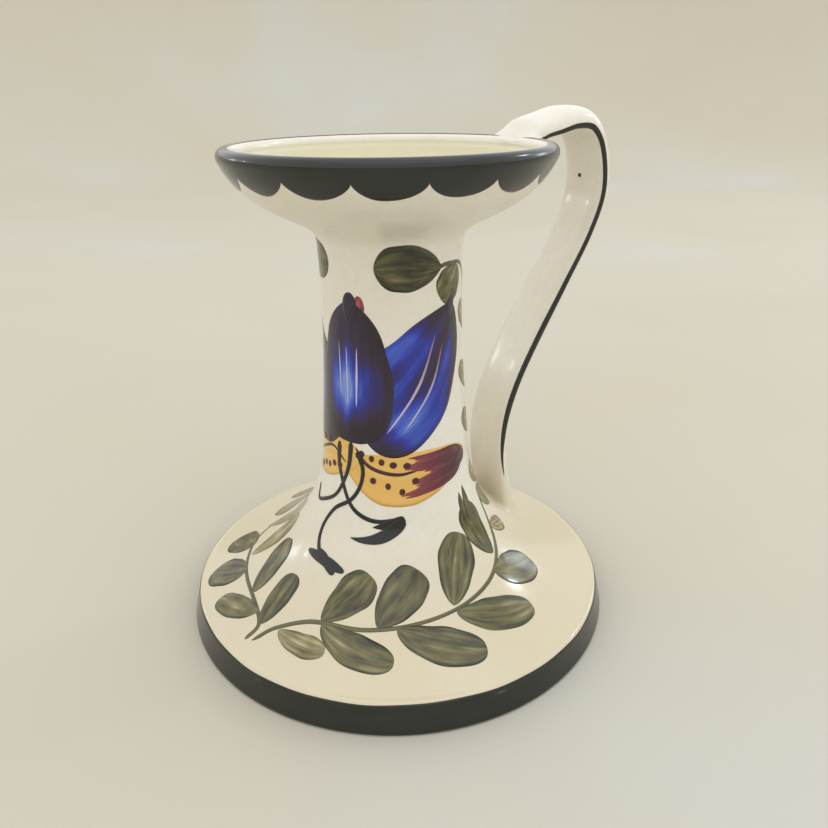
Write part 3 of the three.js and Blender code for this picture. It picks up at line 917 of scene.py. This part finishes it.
leaf(stamens, (-55, 35.2), (-28, 33.8), 3.2, 0.5, 0.72, 9, 0.45, 0.5)
leaf(stamens, (-48, 37.4), (-33, 32.2), 2.8, 0.3, 0.72, 9, 0.4, 0.6)
stamens.finish("flower_stamens", black_paint, "glazed_body")

# ---- the line along each edge of the handle ----
STRAP_LIFT = 0.05  # paint on the handle stands this far out of the glaze
STRAP_PAINT_DEPTH = 0.1  # and its underside lies this far inside it
REACH = 10  # points of the strap's outline looked at on each side of a line

around_ring = np.roll(handle_rings, -1, 1) - np.roll(handle_rings, 1, 1)
ring_normals = np.cross(np.gradient(handle_rings, axis=0), around_ring)
ring_normals /= np.maximum(np.linalg.norm(ring_normals, axis=2), 1e-9)[:, :, None]


def on_strap(ring, offset, start, lift):
    """A place on the strap, offset round its outline from point number start and lifted off it."""
    order = (start + np.arange(-REACH, REACH + 1)) % SECTION_STEPS
    points, outward = handle_rings[ring][order], ring_normals[ring][order]
    steps = np.linalg.norm(np.diff(points, axis=0), axis=1)
    place = np.concatenate([[0], np.cumsum(steps)])
    place -= place[REACH]
    point = np.array([np.interp(offset, place, points[:, k]) for k in range(3)])
    push = np.array([np.interp(offset, place, outward[:, k]) for k in range(3)])
    return (point + push / np.linalg.norm(push) * lift) * MM


def strap_line(work, start, rings, low, high):
    """A line along the strap between two offsets round its outline, each going through the given values."""
    across = np.linspace(-1, 1, 6)
    top, under = [], []
    for i, ring in enumerate(rings):
        where = i / (len(rings) - 1)
        taper = min(1, 6 * where, 12 * (1 - where)) ** 0.5
        a = np.interp(where, np.linspace(0, 1, len(low)), low) * taper
        b = np.interp(where, np.linspace(0, 1, len(high)), high) * taper
        spread = (a + b) / 2 + across * ((b - a) / 2 + 0.04)
        top.append([on_strap(ring, s, start, STRAP_LIFT) for s in spread])
        under.append([on_strap(ring, s, start, -STRAP_PAINT_DEPTH) for s in spread])
    along = np.linspace(0, 6, len(rings))[:, None]
    work.slip(np.array(top), np.array(under), along, across[None, :], 0.4, 0.72)


line_rings = range(5, ring_count - 10)
near_low, near_high = (-0.6, -0.6, -0.6, -0.6, -0.9, -0.9, -0.5), (0.8, 1.0, 0.9, 0.9, 1.1, 1.1, 0.6)
far_low, far_high = (0.5, 0.6, 0.7, 0.7, 0.6, 0.6, 0.6), (1.7, 1.9, 2.0, 2.0, 2.1, 2.0, 1.7)
edge_lines = Brushwork()
strap_line(edge_lines, SECTION_STEPS // 2, line_rings, near_low, near_high)
strap_line(edge_lines, 0, line_rings, far_low, far_high)
edge_lines.finish("handle_edge_lines", black_paint, "glazed_handle")

# One dark iron spot that has come through the glaze on the side of the handle that faces the vessel.
SPOT_RING, SPOT_OFFSET, SPOT_SIZE = 42, 1.5, 0.7
spot_place = np.linspace(-1, 1, 7)
spot_half = SPOT_SIZE * np.sqrt(np.maximum(1 - spot_place**2, 0.02))
inner_middle = SECTION_STEPS * 3 // 4
ring_pitch = np.linalg.norm(handle_rings[SPOT_RING + 1] - handle_rings[SPOT_RING - 1], axis=1).mean() / 2


def strap_spot(lift):
    grid = []
    for across, half in zip(spot_place, spot_half):
        row = []
        for share in np.linspace(-1, 1, 7):
            place = SPOT_RING + across * SPOT_SIZE / ring_pitch
            ring = int(place)
            low, high = (on_strap(r, SPOT_OFFSET + share * half, inner_middle, lift) for r in (ring, ring + 1))
            row.append(low + (high - low) * (place - ring))
        grid.append(row)
    return np.array(grid)


spot = Brushwork()
spot_top, spot_under = strap_spot(STRAP_LIFT), strap_spot(-STRAP_PAINT_DEPTH)
spot.slip(spot_top, spot_under, spot_place[:, None], spot_place[None, :], 0.7, 0.55)
spot.finish("handle_spot", black_paint, "glazed_handle")

# ---- floor and backdrop: a pale sweep that rises all round, far out ----
cloth = Recipe("pale_backdrop")
folds = cloth.noise(cloth.place(), 2.3, 3)
weave = cloth.noise(cloth.place(), 900, 2)
# Painted shade: the cloth's tone rises and falls with the same folds as its bump, a painted shading of the folds with
# a slight change of hue between them.
BACKDROP_FOLD_SHADES = [(0.3, srgb(200, 193, 174)), (0.5, srgb(202, 196, 179)), (0.7, srgb(203, 200, 190))]
fold_shaded_cloth_colour = cloth.ramp(folds, BACKDROP_FOLD_SHADES)
cloth_height = cloth.plus(folds, cloth.times(weave, 0.002))
cloth_bump = cloth.add("Bump", {"Height": cloth_height, "Strength": 0.25, "Distance": 0.02})
cloth_finish = {"Base Color": fold_shaded_cloth_colour, "Roughness": 0.9, "Normal": cloth_bump.outputs["Normal"]}
cloth.put(cloth.shader, cloth_finish)

SWEEP_STEPS = 96
floor_line = [(radius, 0) for radius in (1, 60, 120, 250, 500, 800, 1100)]
sweep_line = np.concatenate([floor_line, arc((1100, 600), 600, -84, -20, 16)])


def surround(line):
    """Points and quads of a line of (radius, height) turned about the axis, seen from inside."""
    turns = np.linspace(0, 2 * math.pi, SWEEP_STEPS, endpoint=False)
    points = [(r * math.cos(t) * MM, r * math.sin(t) * MM, z * MM) for r, z in line for t in turns]
    return points, [face[::-1] for face in tube_faces(len(line), SWEEP_STEPS, False)]


sweep_points, sweep_faces = surround(sweep_line)
sweep_faces.append(tuple(range(SWEEP_STEPS)))
backdrop = add_piece("backdrop", sweep_points, sweep_faces, [cloth.material])
# A screen carries the sweep on upwards for low views. It takes no part in the lighting.
screen_points, screen_faces = surround([sweep_line[-1], (1700, 620), (1700, 1600)])
screen = add_piece("backdrop_screen", screen_points, screen_faces, [cloth.material])
screen.visible_diffuse = False
screen.visible_glossy = False
screen.visible_shadow = False

# ---- light ----
world = bpy.data.worlds.new("studio")
bpy.context.scene.world = world
world.use_nodes = True
sky = world.node_tree.nodes["Background"]
sky.inputs["Color"].default_value = (0.99, 0.995, 1.0, 1.0)
sky.inputs["Strength"].default_value = 1.07
LIGHT_RAISE = 0.05  # every light hangs this much above the place its direction and distance give


def soft_box(name, azimuth, elevation, distance, width, height, power, colour):
    """An area light turned to the foot of the axis. Azimuth is from +X towards +Y, and lengths are in metres."""
    light = bpy.data.lights.new(name, "AREA")
    light.shape = "RECTANGLE"
    light.size = width
    light.size_y = height
    light.energy = power
    light.color = colour
    lamp = bpy.data.objects.new(name, light)
    a, e = math.radians(azimuth), math.radians(elevation)
    place = np.array([math.cos(a) * math.cos(e), math.sin(a) * math.cos(e), math.sin(e)]) * distance
    place[2] += LIGHT_RAISE
    lamp.location = place
    lamp.rotation_mode = "QUATERNION"
    lamp.rotation_quaternion = Vector(-place).to_track_quat("-Z", "Y")
    bpy.context.scene.collection.objects.link(lamp)


soft_box("window_right", -6, 36, 1.3, 0.1, 0.045, 0.75, (0.85, 0.94, 1.0))
soft_box("window_left", 134, 20, 1.3, 0.04, 0.06, 0.13, (0.95, 0.98, 1.0))
soft_box("sky_right", 2, 22, 1.3, 0.3, 0.2, 0.75, (0.78, 0.9, 1.0))
soft_box("sky_left", 121, 16, 1.3, 0.16, 0.14, 0.3, (0.8, 0.92, 1.0))
soft_box("overhead", -100, 78, 1.6, 1.6, 1.6, 2.6, (1.0, 0.98, 0.95))

# ---- camera ----
CAMERA_DISTANCE = 207.0  # from the vessel's axis
CAMERA_HEIGHT = 154.2
CAMERA_PITCH = 24.06  # degrees below level
CAMERA_YAW = 1.63  # degrees to the right of the axis
CAMERA_ROLL = -0.70
LENS = 32.1  # with a sensor 36 mm wide

pitch_down, yaw, roll = (math.radians(v) for v in (CAMERA_PITCH, CAMERA_YAW, CAMERA_ROLL))
level = math.cos(pitch_down)
ahead = np.array([math.sin(yaw) * level, math.cos(yaw) * level, -math.sin(pitch_down)])
right = np.array([math.cos(yaw), -math.sin(yaw), 0])
up = np.cross(right, ahead)
right, up = (
    math.cos(roll) * right + math.sin(roll) * up,
    math.cos(roll) * up - math.sin(roll) * right,
)
facing = math.radians(-FACING)
cosine, sine = math.cos(facing), math.sin(facing)
to_row = np.array([[cosine, sine, 0], [-sine, cosine, 0], [0, 0, 1]])  # from the photo's frame to the part's
camera_data = bpy.data.cameras.new("camera")
camera_data.lens = LENS
camera_data.sensor_width = 36.0
camera_data.clip_start = 0.01
camera_data.clip_end = 20.0
camera = bpy.data.objects.new("camera", camera_data)
pose = np.eye(4)
pose[:3, :3] = np.stack([to_row @ right, to_row @ up, to_row @ -ahead], 1)
pose[:3, 3] = to_row @ np.array([0, -CAMERA_DISTANCE, CAMERA_HEIGHT]) * MM
camera.matrix_world = Matrix(pose.tolist())
bpy.context.scene.collection.objects.link(camera)
bpy.context.scene.camera = camera
bpy.context.scene.view_settings.view_transform = "Standard"
